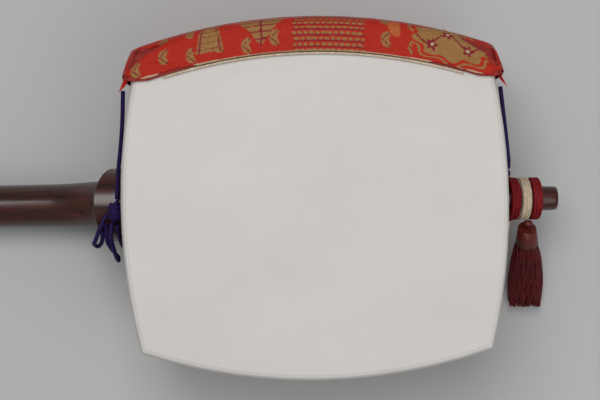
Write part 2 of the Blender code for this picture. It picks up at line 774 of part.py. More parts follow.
def build_bridge(shop):
    """The loose bridge: two feet on the front skin, an arch between them, a grooved top."""
    foot = BRIDGE_FOOT_WIDTH / 2
    top = BRIDGE_TOP_WIDTH / 2
    arch = BRIDGE_ARCH_WIDTH / 2
    base = FRONT_SKIN_Z - FIT_GAP
    half = [(top, 0), (foot, base - 0.0016), (foot, base), (arch, base), (arch * 0.7, base - BRIDGE_ARCH_HEIGHT)]
    outline = half + [(-y, z) for y, z in reversed(half)]
    rings = [[(x, y, z) for y, z in outline] for x in (-BRIDGE_THICKNESS / 2, BRIDGE_THICKNESS / 2)]
    bridge = shop.add("bridge", loft("bridge", rings), shop.ivory, (BRIDGE_X, 0, 0))
    for number, (y, thick) in enumerate(zip(STRINGS_AT_BRIDGE, STRING_DIAMETERS), start=1):
        wide = thick + 2 * FIT_GAP
        name = f"string_groove_{number}"
        groove = box_mesh(name, (BRIDGE_THICKNESS * 2, wide, 2 * wide))
        cut(bridge, shop.add_cutter(name, groove, (BRIDGE_X, y, 0)))


def build_strings(shop):
    """Each string runs from its peg over the nut and the bridge to its loop on the tailpiece."""
    for i, thick in enumerate(STRING_DIAMETERS):
        peg_y = WINDING_PLACES[i]
        shaft = shaft_radius(PEG_SIDES[i] * peg_y) + STRING_GAP + 0.0001
        wound_z = PEG_Z - shaft - WINDING_DEPTH - thick / 2 - STRING_GAP
        nut_z = FINGERBOARD_Z - NUT_RISE - thick / 2 - FIT_GAP
        ridge_z = thick / 2 + STRING_GAP
        over = BRIDGE_THICKNESS / 2 + FIT_GAP
        points = [
            (NUT_X - PEG_PLACES[i], peg_y, wound_z),
            (NUT_X - 0.0035, STRINGS_AT_NUT[i], nut_z),
            (BRIDGE_X - over, STRINGS_AT_BRIDGE[i], ridge_z),
            (BRIDGE_X + over, STRINGS_AT_BRIDGE[i], ridge_z),
            (neo_front_x() - 0.0086, STRINGS_AT_BRIDGE[i], neo_front_z()),
        ]
        name = f"string_{i + 1}"
        shop.add(name, tube_curve(name, points, thick), shop.silk)


# ---------------------------------------------------------------- arm rest


def rest_stations():
    """Where the arm rest's wall runs at mid-depth: (place, outward angle) from one end to the other."""
    radius = LONG_ARC.radius + REST_CLEARANCE
    turn = math.asin(REST_CORNER / radius)
    stations = []
    for step in range(ARC_STEPS // 2 + 1):
        angle = turn * step / (ARC_STEPS // 2)
        stations.append((LONG_ARC.point(angle, radius), angle))
    corner = stations[-1][0]
    hub = corner - REST_BEND * Vector((math.sin(turn), math.cos(turn)))
    for step in (1, 2, 3):
        angle = turn + (REST_END_ANGLE - turn) * step / 3
        stations.append((hub + REST_BEND * Vector((math.sin(angle), math.cos(angle))), angle))
    last = stations[-1][0]
    down = Vector((math.cos(REST_END_ANGLE), -math.sin(REST_END_ANGLE)))
    for share in (0.5, 1):
        stations.append((last + down * REST_END_LENGTH * share, REST_END_ANGLE))
    mirrored = [(Vector((-p.x, p.y)), -angle) for p, angle in reversed(stations[1:])]
    return mirrored + stations


def flap_points(lift=0.0):
    """The arm rest's inner edge over a skin, one point for each station."""
    radius = LONG_ARC.radius - BARREL_BULGE - REST_FLAP - lift
    count = len(rest_stations())
    angles = [REST_FLAP_HALF_ANGLE * (2 * i / (count - 1) - 1) for i in range(count)]
    return [LONG_ARC.point(angle, radius) for angle in angles]


def rest_shell(shop, name, start, thickness, material):
    """One layer of the arm rest, which starts this far out from its inner face."""
    shape = bmesh.new()
    back = BACK_SKIN_Z + REST_SKIN_GAP
    front = FRONT_SKIN_Z - REST_SKIN_GAP
    rings = []
    for (place, angle), edge in zip(rest_stations(), flap_points()):
        out = Vector((math.sin(angle), math.cos(angle)))
        ring = [(edge.x, edge.y, back)]
        for turn in (90, 60, 30):
            hub = place - out * (BARREL_BULGE + REST_FOLD)
            spot = hub + out * REST_FOLD * math.cos(math.radians(turn))
            ring.append((spot.x, spot.y, back - REST_FOLD * (1 - math.sin(math.radians(turn)))))
        for step in range(7):
            z = back - REST_FOLD + (front - back + 2 * REST_FOLD) * step / 6
            spot = place - out * BARREL_BULGE * ((z - MIDDLE_Z) / (back - REST_FOLD - MIDDLE_Z)) ** 2
            ring.append((spot.x, spot.y, z))
        for x, y, z in reversed(ring[:4]):
            ring.append((x, y, 2 * MIDDLE_Z - z))
        rings.append(ring)
    bridge_rings(shape, rings, around=False)
    bmesh.ops.recalc_face_normals(shape, faces=shape.faces)
    shape.faces.ensure_lookup_table()
    middle = max(shape.faces, key=lambda face: face.calc_center_median().y)
    if middle.normal.y < 0:
        bmesh.ops.reverse_faces(shape, faces=shape.faces)
    mesh = bpy.data.meshes.new(name)
    shape.to_mesh(mesh)
    shape.free()
    layer = shop.add(name, mesh, material)
    shell = layer.modifiers.new("layer thickness", "SOLIDIFY")
    shell.thickness = thickness
    shell.offset = 1 + 2 * start / thickness
    shell.use_even_offset = True


def build_arm_rest(shop):
    """Three nested layers and a piped edge, tied on at the neck and hooked on at the tip."""
    core = REST_LINING + FIT_GAP
    brocade = core + REST_CORE + FIT_GAP
    rest_shell(shop, "rest_lining", 0, REST_LINING, shop.lining)
    rest_shell(shop, "rest_core", core, REST_CORE, shop.board)
    rest_shell(shop, "rest_brocade", brocade, REST_BROCADE, shop.brocade)
    middle = REST_SKIN_GAP + PIPING_DIAMETER / 2 + FIT_GAP
    for name, z in (("back_piping", BACK_SKIN_Z + middle), ("front_piping", FRONT_SKIN_Z - middle)):
        edge = flap_points(PIPING_DIAMETER / 2 + FIT_GAP)[1:-1]
        points = [(point.x, point.y, z) for point in edge]
        shop.add(name, tube_curve(name, points, PIPING_DIAMETER), shop.lining)


# ---------------------------------------------------------------- cords


def add_cord(shop, name, points, diameter, material, closed=False):
    route = through(points, diameter * 2.5)
    return shop.add(name, tube_curve(name, route, diameter, closed), material)


def build_rest_cords(shop):
    """The arm rest's cords: tied in a bow behind the heel, and looped over the tip."""
    back_cord = [(-0.1002, 0.0600, 0.070), (-0.1012, 0.045, 0.066), (-0.1030, 0.030, 0.0615),
                 (-0.1050, 0.018, 0.0575), (-0.1058, 0.008, 0.0555), (-0.1062, 0.0030, 0.0555)]
    front_cord = [(-0.0998, 0.0600, 0.034), (-0.1012, 0.045, 0.027), (-0.1030, 0.032, 0.018),
                  (-0.1042, 0.0240, 0.0105), (-0.1046, 0.0155, 0.0065), (-0.1046, 0.008, 0.0062),
                  (-0.1046, -0.008, 0.0062), (-0.1046, -0.0150, 0.0070), (-0.1048, -0.0200, 0.0140),
                  (-0.1052, -0.0228, 0.0240), (-0.1056, -0.0232, 0.0330), (-0.1058, -0.0212, 0.0430),
                  (-0.1060, -0.0160, 0.0520), (-0.1062, -0.0112, 0.0560)]
    add_cord(shop, "rest_cord_back", back_cord, CORD_DIAMETER, shop.purple)
    add_cord(shop, "rest_cord_front", front_cord, CORD_DIAMETER, shop.purple)
    knot = ball_mesh("bow_knot", (0.0040, 0.0064, 0.0034))
    shop.add("bow_knot", knot, shop.purple, (-0.1068, -0.0040, 0.0570))
    long_loop = [(-0.1086, -0.0100, 0.0592), (-0.1090, -0.0180, 0.0590), (-0.1080, -0.0270, 0.0510),
                 (-0.1075, -0.0305, 0.0430), (-0.1080, -0.0290, 0.0390), (-0.1092, -0.0268, 0.0420),
                 (-0.1120, -0.0200, 0.0520), (-0.1120, -0.0105, 0.0570)]
    side_loop = [(-0.1114, -0.0052, 0.0598), (-0.1150, -0.0130, 0.0605), (-0.1180, -0.0190, 0.0560),
                 (-0.1196, -0.0212, 0.0500), (-0.1176, -0.0224, 0.0470), (-0.1150, -0.0190, 0.0510),
                 (-0.1145, -0.0120, 0.0555)]
    add_cord(shop, "bow_loop_long", long_loop, CORD_DIAMETER, shop.purple)
    add_cord(shop, "bow_loop_side", side_loop, CORD_DIAMETER, shop.purple)
    high = [(0.1002, 0.0600, 0.062), (0.1030, 0.0400, 0.0570), (0.1058, 0.0200, 0.0505), (0.1058, 0.0169, 0.0480)]
    low = [(0.1002, 0.0600, 0.036), (0.1030, 0.0400, 0.0390), (0.1058, 0.0200, 0.0425), (0.1058, 0.0169, 0.0450)]
    add_cord(shop, "tip_cord_back", high, CORD_DIAMETER, shop.purple)
    add_cord(shop, "tip_cord_front", low, CORD_DIAMETER, shop.purple)
    shop.add("tip_cord_knot", ball_mesh("tip_cord_knot", (0.0022, 0.0024, 0.0040)), shop.purple, (0.1052, 0.0139, 0.0465))
    reach = TIP_DIAMETER / 2 + CORD_DIAMETER / 2 + FIT_GAP
    angles = [math.radians(48 + 304 * step / 10) for step in range(11)]
    loop = [(0.1034, reach * math.cos(a), TIP_Z + reach * math.sin(a)) for a in angles]
    loop = [(0.1034, 0.0112, 0.0486), *loop, (0.1034, 0.0114, 0.0438)]
    add_cord(shop, "tip_cord_loop", loop, CORD_DIAMETER, shop.purple)


# ---------------------------------------------------------------- tailpiece


def neo_front_x():
    return BODY_END - BARREL_BULGE - NEO_FRONT_LENGTH


def neo_front_z():
    return FRONT_SKIN_Z - NEO_BAND_THICKNESS / 2 - 0.0006


def neo_path():
    """The tailpiece's middle line from its front end to over the tip: (place, width, thickness)."""
    rim = BODY_END - BARREL_BULGE + SKIN_THICKNESS + FIT_GAP
    out = NEO_BAND_THICKNESS / 2
    ribbon = 3 * NEO_BAND_WIDTH + 2 * NEO_BAND_GAP
    y = ribbon / 2 + FIT_GAP
    round_tip = TIP_DIAMETER / 2 + FIT_GAP + out
    x_tip = BODY_END + NEO_FROM_BOARD + ribbon / 2
    across = Vector((0, -1, 0))
    front = neo_front_z()
    path = [
        (Vector((neo_front_x(), y, front)), across, Vector((0, 0, -1))),
        (Vector((rim - 0.004, y, front)), across, Vector((0, 0, -1))),
        (Vector((rim + out * 0.55, y, front + 0.0012)), across, Vector((0.5, 0, -0.87))),
        (Vector((rim + out + 0.0006, y, front + 0.0050)), across, Vector((0.95, 0, -0.3))),
        (Vector((rim + out + 0.0022, y, front + 0.0120)), across, Vector((1, 0, 0))),
    ]
    start = path[-1][0]
    end = Vector((x_tip - NEO_TILT, round_tip, TIP_Z - 0.003))
    for share in (1 / 3, 2 / 3, 1):
        turn = math.radians(90 * share)
        width = Vector((math.sin(turn), -math.cos(turn), 0))
        path.append((start.lerp(end, share), width, Vector((math.cos(turn), math.sin(turn), 0))))
    for step in range(5):
        turn = math.radians(22.5 * step)
        out_dir = Vector((0, math.cos(turn), math.sin(turn)))
        x = x_tip - NEO_TILT * (1 - math.sin(turn))
        path.append((Vector((x, 0, TIP_Z)) + out_dir * round_tip, Vector((1, 0, 0)), out_dir))
    return path


def neo_band(shop, name, place, material):
    """One of the three flat cords, side by side in the ribbon that hooks over the tip."""
    shift = place * (NEO_BAND_WIDTH + NEO_BAND_GAP)
    wide = NEO_BAND_WIDTH / 2
    half = []
    for middle, width, thick in neo_path():
        side = thick - width * thick.dot(width)
        side.normalize()
        spot = middle + width * shift
        flat = NEO_BAND_THICKNESS / 2
        corners = ((1, 0.4), (0.6, 1), (-0.6, 1), (-1, 0.4), (-1, -0.4), (-0.6, -1), (0.6, -1), (1, -0.4))
        half.append([spot + width * wide * a + side * flat * b for a, b in corners])
    other = [[Vector((p.x, -p.y, p.z)) for p in ring] for ring in reversed(half[:-1])]
    shop.add(name, loft(name, half + other), material)


def build_tailpiece(shop):
    """Three flat cords over the tip, the bar and loops that hold the strings, and the tassel."""
    neo_band(shop, "neo_band_inner", -1, shop.red)
    neo_band(shop, "neo_band_middle", 0, shop.cream)
    neo_band(shop, "neo_band_outer", 1, shop.red)
    wide = 6 * NEO_BAND_WIDTH + 5 * NEO_BAND_GAP
    bar = box_mesh("neo_bar", (0.0045, wide, NEO_BAND_THICKNESS))
    bar_piece = shop.add("neo_bar", bar, shop.red, (neo_front_x() - 0.0045 / 2 - FIT_GAP, 0, neo_front_z()))
    bevel(bar_piece, 0.0008)
    for number, y in enumerate(STRINGS_AT_BRIDGE, start=1):
        name = f"string_loop_{number}"
        shape = bmesh.new()
        add_ring(shape, Vector((0, 0, 0)), 0.0008, 0.0016, 0.0030, 10)
        place = (neo_front_x() - 0.0045 - 2 * FIT_GAP - 0.0016, y, neo_front_z())
        shop.add(name, mesh_from(shape, name), shop.red, place)
    x = BODY_END + NEO_FROM_BOARD + 0.0100
    reach = TIP_DIAMETER / 2 + NEO_BAND_THICKNESS + 2 * FIT_GAP
    shop.add("tassel_knot", ball_mesh("tassel_knot", (0.003, 0.0022, 0.0028)), shop.red, (x, -reach - 0.0022, TIP_Z))
    head = [(x, -reach - 0.0046, TIP_Z - 0.0022), (x + 0.001, -reach - 0.0125, TIP_Z - 0.0098)]
    rings = tassel_rings(head, ((0.8, 0.8), (1.0, 1.0)))
    shop.add("tassel_head", loft("tassel_head", rings), shop.fringe)
    fringe = [(x + 0.0012, -reach - 0.0128, TIP_Z - 0.0102), (x + 0.002, -reach - 0.022, TIP_Z - 0.020),
              (x + 0.003, -reach - 0.034, TIP_Z - 0.0295), (x + 0.003, -reach - 0.050, TIP_Z - 0.0345)]
    rings = tassel_rings(fringe, ((0.95, 0.9), (1.35, 1.0), (1.6, 0.85), (1.45, 0.65)))
    shop.add("tassel_fringe", loft("tassel_fringe", rings), shop.fringe)
    white = [(0.1066, -0.0125, 0.0440), (0.1056, -0.0230, 0.0380), (0.1048, -0.0360, 0.0240), (0.1052, -0.0480, 0.0120),
             (0.1062, -0.0560, 0.0050), (0.1075, -0.0590, 0.0035)]
    add_cord(shop, "tassel_cord", white, WHITE_CORD_DIAMETER, shop.cream)


def tassel_rings(places, sizes):
    """Ellipses across the tassel's line, each with its own share of the tassel's width and depth."""
    spots = [Vector(place) for place in places]
    rings = []
    for i, (spot, (wide, deep)) in enumerate(zip(spots, sizes)):
        along = (spots[min(i + 1, len(spots) - 1)] - spots[max(i - 1, 0)]).normalized()
        up = Vector((1, 0, 0)).cross(along).normalized()
        ring = []
        for step in range(ROUND_STEPS):
            angle = 2 * math.pi * step / ROUND_STEPS
            out = Vector((1, 0, 0)) * wide * math.cos(angle) + up * deep * math.sin(angle)
            ring.append(spot + out * TASSEL_DIAMETER / 2)
        rings.append(ring)
    return rings


def main():
    clear_scene()
    shop = Workshop()
    build_body(shop)
    build_neck(shop)
    build_pegs(shop, build_head(shop))
    build_bridge(shop)
    build_strings(shop)
    build_arm_rest(shop)
    build_rest_cords(shop)
    build_tailpiece(shop)


main()
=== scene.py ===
"""Dresses a face-down shamisen: skins, oiled rosewood, brocade arm rest, silk cords and tassel."""

import logging
import math
import random
from dataclasses import dataclass
from enum import Enum

import bmesh
import bpy
import numpy as np
from mathutils import Matrix, Vector


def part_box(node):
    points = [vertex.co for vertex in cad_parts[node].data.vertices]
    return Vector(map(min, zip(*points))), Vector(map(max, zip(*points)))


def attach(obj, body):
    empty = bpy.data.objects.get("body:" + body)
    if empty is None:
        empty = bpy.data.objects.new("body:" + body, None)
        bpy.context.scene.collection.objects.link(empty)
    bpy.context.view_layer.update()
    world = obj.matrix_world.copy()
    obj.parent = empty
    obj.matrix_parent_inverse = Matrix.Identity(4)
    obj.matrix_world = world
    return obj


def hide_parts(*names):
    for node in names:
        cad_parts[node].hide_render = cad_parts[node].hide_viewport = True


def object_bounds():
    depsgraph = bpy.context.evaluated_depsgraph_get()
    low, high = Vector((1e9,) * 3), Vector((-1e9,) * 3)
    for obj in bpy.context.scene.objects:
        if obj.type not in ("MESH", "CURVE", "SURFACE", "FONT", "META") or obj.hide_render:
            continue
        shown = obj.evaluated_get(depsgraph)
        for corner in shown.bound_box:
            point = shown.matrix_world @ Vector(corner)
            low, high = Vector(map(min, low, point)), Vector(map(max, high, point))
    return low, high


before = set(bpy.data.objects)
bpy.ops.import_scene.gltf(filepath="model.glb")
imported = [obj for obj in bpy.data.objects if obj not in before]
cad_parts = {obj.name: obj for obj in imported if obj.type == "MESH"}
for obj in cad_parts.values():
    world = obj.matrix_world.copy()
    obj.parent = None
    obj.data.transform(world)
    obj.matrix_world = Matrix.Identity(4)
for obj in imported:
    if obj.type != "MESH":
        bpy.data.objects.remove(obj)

LOG = logging.getLogger("shamisen")
CAD_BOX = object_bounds()
BODY = "instrument"
# The middle of the body: the back skin's own middle, which every local place is measured from.
SKIN_LOW, SKIN_HIGH = (Vector(corner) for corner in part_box("back_skin"))
MIDDLE = Vector(((SKIN_LOW.x + SKIN_HIGH.x) / 2, 0, 0))
TIP_Z = 0.042


@dataclass(frozen=True)
class Finish:
    """A surface finish, built from noise on the piece's own coordinates.

    Args: two colours that the grain mixes, how the grain is stretched, and the shine.
    """

    name: str
    dark: tuple[float, float, float]
    light: tuple[float, float, float]
    roughness: float
    scale: tuple[float, float, float] = (60, 60, 60)
    bump: float = 0.1
    metallic: float = 0.0
    coat: float = 0.0
    sheen: float = 0.0
    fine: float = 900.0
    attribute: str = ""
    specular: float = 0.5

    def material(self) -> bpy.types.Material:
        """Makes the material once and returns it."""
        if self.name in bpy.data.materials:
            return bpy.data.materials[self.name]
        made = bpy.data.materials.new(self.name)
        made.use_nodes = True
        tree = made.node_tree
        new, link = tree.nodes.new, tree.links.new
        shader = tree.nodes["Principled BSDF"]
        shader.inputs["Metallic"].default_value = self.metallic
        shader.inputs["Coat Weight"].default_value = self.coat
        shader.inputs["Coat Roughness"].default_value = 0.15
        shader.inputs["Specular IOR Level"].default_value = self.specular
        shader.inputs["Sheen Weight"].default_value = self.sheen
        place = new("ShaderNodeTexCoord")
        mapping = new("ShaderNodeMapping")
        mapping.inputs["Scale"].default_value = self.scale
        link(place.outputs["Object"], mapping.inputs["Vector"])
        grain = new("ShaderNodeTexNoise")
        grain.inputs["Scale"].default_value = 1.0
        grain.inputs["Detail"].default_value = 9
        grain.inputs["Roughness"].default_value = 0.62
        link(mapping.outputs["Vector"], grain.inputs["Vector"])
        ramp = new("ShaderNodeValToRGB")
        ramp.color_ramp.elements[0].position = 0.30
        ramp.color_ramp.elements[1].position = 0.70
        ramp.color_ramp.elements[0].color = (*self.dark, 1)
        ramp.color_ramp.elements[1].color = (*self.light, 1)
        link(grain.outputs["Fac"], ramp.inputs["Fac"])
        colour = ramp.outputs["Color"]
        if self.attribute:
            woven = new("ShaderNodeAttribute")
            woven.attribute_name = self.attribute
            mix = new("ShaderNodeMix")
            mix.data_type = "RGBA"
            mix.blend_type = "MULTIPLY"
            mix.inputs["Factor"].default_value = 1.0
            link(woven.outputs["Color"], mix.inputs["A"])
            link(colour, mix.inputs["B"])
            colour = mix.outputs["Result"]
        link(colour, shader.inputs["Base Color"])
        fine = new("ShaderNodeTexNoise")
        fine.inputs["Scale"].default_value = self.fine
        fine.inputs["Detail"].default_value = 4
        link(place.outputs["Object"], fine.inputs["Vector"])
        rough = new("ShaderNodeMapRange")
        rough.inputs["To Min"].default_value = self.roughness - 0.06
        rough.inputs["To Max"].default_value = self.roughness + 0.08
        link(grain.outputs["Fac"], rough.inputs["Value"])
        link(rough.outputs["Result"], shader.inputs["Roughness"])
        bump = new("ShaderNodeBump")
        bump.inputs["Strength"].default_value = self.bump
        bump.inputs["Distance"].default_value = 0.0004
        link(fine.outputs["Fac"], bump.inputs["Height"])
        link(bump.outputs["Normal"], shader.inputs["Normal"])
        return made


ROSEWOOD = Finish(
    "oiled rosewood", (0.010, 0.003, 0.002), (0.085, 0.017, 0.008), 0.24, (12, 240, 240),
    0.05, coat=0.1,
)
QUINCE = Finish("quince wood", (0.10, 0.035, 0.016), (0.24, 0.10, 0.05), 0.42, (30, 30, 320), 0.1)
SKIN = Finish(
    "drum skin", (0.66, 0.615, 0.570), (0.715, 0.680, 0.640), 0.55, (14, 22, 30), 0.35,
    fine=1500,
)
HORN = Finish(
    "pale horn", (0.62, 0.54, 0.38), (0.78, 0.71, 0.56), 0.30, (20, 90, 90), 0.03, coat=0.4,
)
BRASS = Finish(
    "polished brass", (0.62, 0.42, 0.16), (0.80, 0.58, 0.28), 0.26, bump=0.03, metallic=1.0,
)
STRING = Finish(
    "waxed string silk", (0.62, 0.50, 0.22), (0.80, 0.70, 0.40), 0.5, bump=0.3, sheen=0.3,
)
PURPLE = Finish(
    "purple silk", (0.006, 0.002, 0.022), (0.028, 0.008, 0.120), 0.6, (900, 900, 900), 0.6,
    specular=0.25,
)
RED = Finish(
    "red silk", (0.10, 0.003, 0.005), (0.36, 0.008, 0.014), 0.52, (700, 700, 700), 0.6,
    specular=0.25,
)
CREAM = Finish(
    "cream silk", (0.46, 0.33, 0.20), (0.80, 0.68, 0.50), 0.55, (700, 700, 700), 0.6,
    sheen=0.3,
)
WINE = Finish(
    "dark red silk", (0.035, 0.002, 0.003), (0.17, 0.007, 0.009), 0.42, (1200, 300, 1200),
    0.4, specular=0.3,
)
NETTED = Finish(
    "gold-flecked silk", (0.05, 0.003, 0.003), (0.20, 0.022, 0.012), 0.42,
    (1500, 1500, 1500), 0.8,
)
LINING = Finish("red lining", (0.20, 0.008, 0.005), (0.36, 0.014, 0.006), 0.7, (500, 500, 500), 0.3)
BROCADE = Finish(
    "red brocade", (0.72, 0.70, 0.68), (1.0, 1.0, 1.0), 0.46, (1500, 500, 900), 0.9,
    fine=2400, attribute="woven", specular=0.2,
)

NODE_FINISHES = (
    (("neck", "head"), ROSEWOOD),
    (("rest_core", "rest_lining"), LINING),
    (("_board",), QUINCE),
    (("_skin", "plectrum"), SKIN),
    (("peg_", "bridge"), HORN),
    (("ferrule", "nut"), BRASS),
    (("winding", "string_1", "string_2", "string_3"), STRING),
)


def show(piece: bpy.types.Object, finish: Finish, slot: str, *stands_for: str) -> bpy.types.Object:
    """Gives a new piece its finish and its body.

    Args: the piece, its finish, the record's slot (not used) and the CAD nodes that it stands for.
    """
    piece.data.materials.clear()
    piece.data.materials.append(finish.material())
    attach(piece, BODY)
    if stands_for:
        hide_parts(*stands_for)
    LOG.info("made %s", piece.name)
    return piece


def mesh_piece(name: str, shape: bmesh.types.BMesh, smooth: bool = True) -> bpy.types.Object:
    """Turns an edited shape into a linked object at the origin."""
    mesh = bpy.data.meshes.new(name)
    shape.to_mesh(mesh)
    shape.free()
    if smooth:
        mesh.shade_smooth()
    piece = bpy.data.objects.new(name, mesh)
    bpy.context.scene.collection.objects.link(piece)
    return piece


def apply_modifiers(piece: bpy.types.Object) -> None:
    """Applies every modifier on the piece."""
    bpy.ops.object.select_all(action="DESELECT")
    piece.select_set(True)
    bpy.context.view_layer.objects.active = piece
    for modifier in list(piece.modifiers):
        bpy.ops.object.modifier_apply(modifier=modifier.name)


def refined(node: str, levels: int, sharp: float, relax: int = 0) -> bpy.types.Object:
    """A smooth copy of a CAD node, whose sharp edges stay where they are.

    Args: the node, how often it is subdivided, and the angle in degrees past which an edge is sharp.
    """
    source = bpy.data.objects[node]
    piece = bpy.data.objects.new(node + "_smooth", source.data.copy())
    bpy.context.scene.collection.objects.link(piece)
    bpy.ops.object.select_all(action="DESELECT")
    piece.select_set(True)
    bpy.context.view_layer.objects.active = piece
    bpy.ops.object.mode_set(mode="EDIT")
    bpy.ops.mesh.select_all(action="SELECT")
    bpy.ops.mesh.remove_doubles(threshold=0.00002)
    bpy.ops.mesh.tris_convert_to_quads(face_threshold=math.radians(60), shape_threshold=math.radians(80))
    bpy.ops.object.mode_set(mode="OBJECT")
    shape = bmesh.new()
    shape.from_mesh(piece.data)
    crease = shape.edges.layers.float.new("crease_edge")
    for edge in shape.edges:
        if edge.calc_face_angle(0) > math.radians(sharp):
            edge[crease] = 1.0
    shape.to_mesh(piece.data)
    shape.free()
    subdivide = piece.modifiers.new("smooth", "SUBSURF")
    subdivide.levels = subdivide.render_levels = levels
    apply_modifiers(piece)
    piece.data.shade_smooth()
    piece.data.set_sharp_from_angle(angle=math.radians(sharp))
    return piece


def through(points: list, spacing: float) -> list[Vector]:
    """Points every so often along a smooth curve through the given ones."""
    places = [Vector(point) for point in points]
    ends = [2 * places[0] - places[1]] + places + [2 * places[-1] - places[-2]]
    found = [places[0]]
    for before, start, end, after in zip(ends, ends[1:], ends[2:], ends[3:]):
        steps = max(1, round((end - start).length / spacing))
        for step in range(1, steps + 1):
            t = step / steps
            bend = (2 * before - 5 * start + 4 * end - after) * t**2
            twist = (3 * start - before - 3 * end + after) * t**3
            found.append(0.5 * (2 * start + (end - before) * t + bend + twist))
    return found


def frames(route: list[Vector]) -> list[tuple[Vector, Vector, Vector]]:
    """Each route point with two directions across the route that never flip."""
    found = []
    across = None
    for i, place in enumerate(route):
        along = (route[min(i + 1, len(route) - 1)] - route[max(i - 1, 0)]).normalized()
        if across is None:
            across = along.orthogonal().normalized()
        across = (across - along * across.dot(along)).normalized()
        found.append((place, across, along.cross(across)))
    return found


def add_tube(shape: bmesh.types.BMesh, route: list[Vector], radii: list[float], sides: int = 8) -> None:
    """Adds a round closed tube along the route, with one radius for each point."""
    rings = []
    for (place, one, two), radius in zip(frames(route), radii):
        angles = [2 * math.pi * i / sides for i in range(sides)]
        spokes = [one * math.cos(a) + two * math.sin(a) for a in angles]
        rings.append([shape.verts.new(place + spoke * radius) for spoke in spokes])
    for first, second in zip(rings, rings[1:]):
        for i in range(sides):
            j = (i + 1) % sides
            shape.faces.new((first[i], first[j], second[j], second[i]))
    shape.faces.new(reversed(rings[0]))
    shape.faces.new(rings[-1])


def add_braid(
    shape: bmesh.types.BMesh, points: list, diameter: float, strands: int = 4, pitch: float = 3.0
) -> list[Vector]:
    """Adds a cord laid up from twisted strands.

    Args: the shape, the cord's points, its diameter, its strands and its pitch in diameters.
    Returns: the cord's smooth middle line, in the frame's coordinates.
    """
    route = [MIDDLE + point for point in through(points, diameter * 0.35)]
    strand = diameter * 0.31
    around = frames(route)
    length = 0.0
    turns = []
    for i, place in enumerate(route):
        length += (place - route[i - 1]).length if i else 0
        turns.append(2 * math.pi * length / (pitch * diameter))
    for number in range(strands):
        line = []
        for (place, one, two), turn in zip(around, turns):
            angle = turn + 2 * math.pi * number / strands
            line.append(place + (one * math.cos(angle) + two * math.sin(angle)) * diameter * 0.23)
        add_tube(shape, line, [strand] * len(line), 6)
    return route


class FarEnd(Enum):
    """What a free cord's far end is."""

    OBJECT = "object"
    BARE = "bare"


@dataclass(frozen=True)
class FreeCord:
    """One cord that leaves the object: its CAD node, its slot, its finish and the line that it follows."""

    node: str
    slot: str
    finish: Finish
    diameter: float
    far_end: FarEnd
    points: tuple

    def build(self) -> None:
        shape = bmesh.new()
        route = add_braid(shape, self.points, self.diameter)
        piece = show(mesh_piece(self.node + "_laid", shape), self.finish, self.slot, self.node)


CORD = 0.0023
THIN_CORD = 0.0012
LONG_LOOP = (
    (-0.1086, -0.0100, 0.0592), (-0.1090, -0.0180, 0.0590), (-0.1080, -0.0270, 0.0510),
    (-0.1075, -0.0305, 0.0430), (-0.1080, -0.0290, 0.0390), (-0.1092, -0.0268, 0.0420),
    (-0.1120, -0.0200, 0.0520), (-0.1120, -0.0105, 0.0570),
)
SIDE_LOOP = (
    (-0.1114, -0.0052, 0.0598), (-0.1150, -0.0130, 0.0605), (-0.1180, -0.0190, 0.0560),
    (-0.1196, -0.0212, 0.0500), (-0.1176, -0.0224, 0.0470), (-0.1150, -0.0190, 0.0510),
    (-0.1145, -0.0120, 0.0555),
)
TASSEL_CORD = (
    (0.1066, -0.0125, 0.0440), (0.1056, -0.0230, 0.0380), (0.1048, -0.0360, 0.0240),
    (0.1052, -0.0480, 0.0120), (0.1062, -0.0560, 0.0050), (0.1075, -0.0590, 0.0035),
)
FREE_CORDS = (
    FreeCord("bow_loop_long", "purple", PURPLE, CORD, FarEnd.OBJECT, LONG_LOOP),
    FreeCord("bow_loop_side", "purple", PURPLE, CORD, FarEnd.OBJECT, SIDE_LOOP),
    FreeCord("tassel_cord", "cream", CREAM, THIN_CORD, FarEnd.BARE, TASSEL_CORD),
)


@dataclass(frozen=True)
class Knot:
    """A bow's tied middle: turns of cord wrapped over a soft core."""

    node: str = "bow_knot"
    middle: tuple[float, float, float] = (-0.1068, -0.0040, 0.0570)
    radii: tuple[float, float, float] = (0.0040, 0.0064, 0.0034)
    turns: tuple[tuple[float, float], ...] = ((0, -0.45), (0, 0.0), (0, 0.45), (75, 0.0), (-40, 0.1))

    def build(self) -> None:
        """Wraps each turn round the core, at its own heading and offset along the knot."""
        shape = bmesh.new()
        core = Matrix.LocRotScale(MIDDLE + Vector(self.middle), None, Vector(self.radii) * 0.86)
        bmesh.ops.create_icosphere(shape, subdivisions=4, radius=1.0, matrix=core)
        reach = Vector(self.radii) - Vector((CORD, CORD, CORD)) * 0.18
        for heading, offset in self.turns:
            turn = Matrix.Rotation(math.radians(heading), 3, "Z")
            small = math.sqrt(1 - offset**2)
            loop = []
            for step in range(25):
                angle = 2 * math.pi * step / 24
                unit = turn @ Vector((math.cos(angle) * small, offset, math.sin(angle) * small))
                loop.append(Vector(self.middle) + Vector(a * b for a, b in zip(unit, reach)))
            add_braid(shape, loop, CORD * 0.85)
        show(mesh_piece("bow_knot_tied", shape), PURPLE, "purple", self.node)


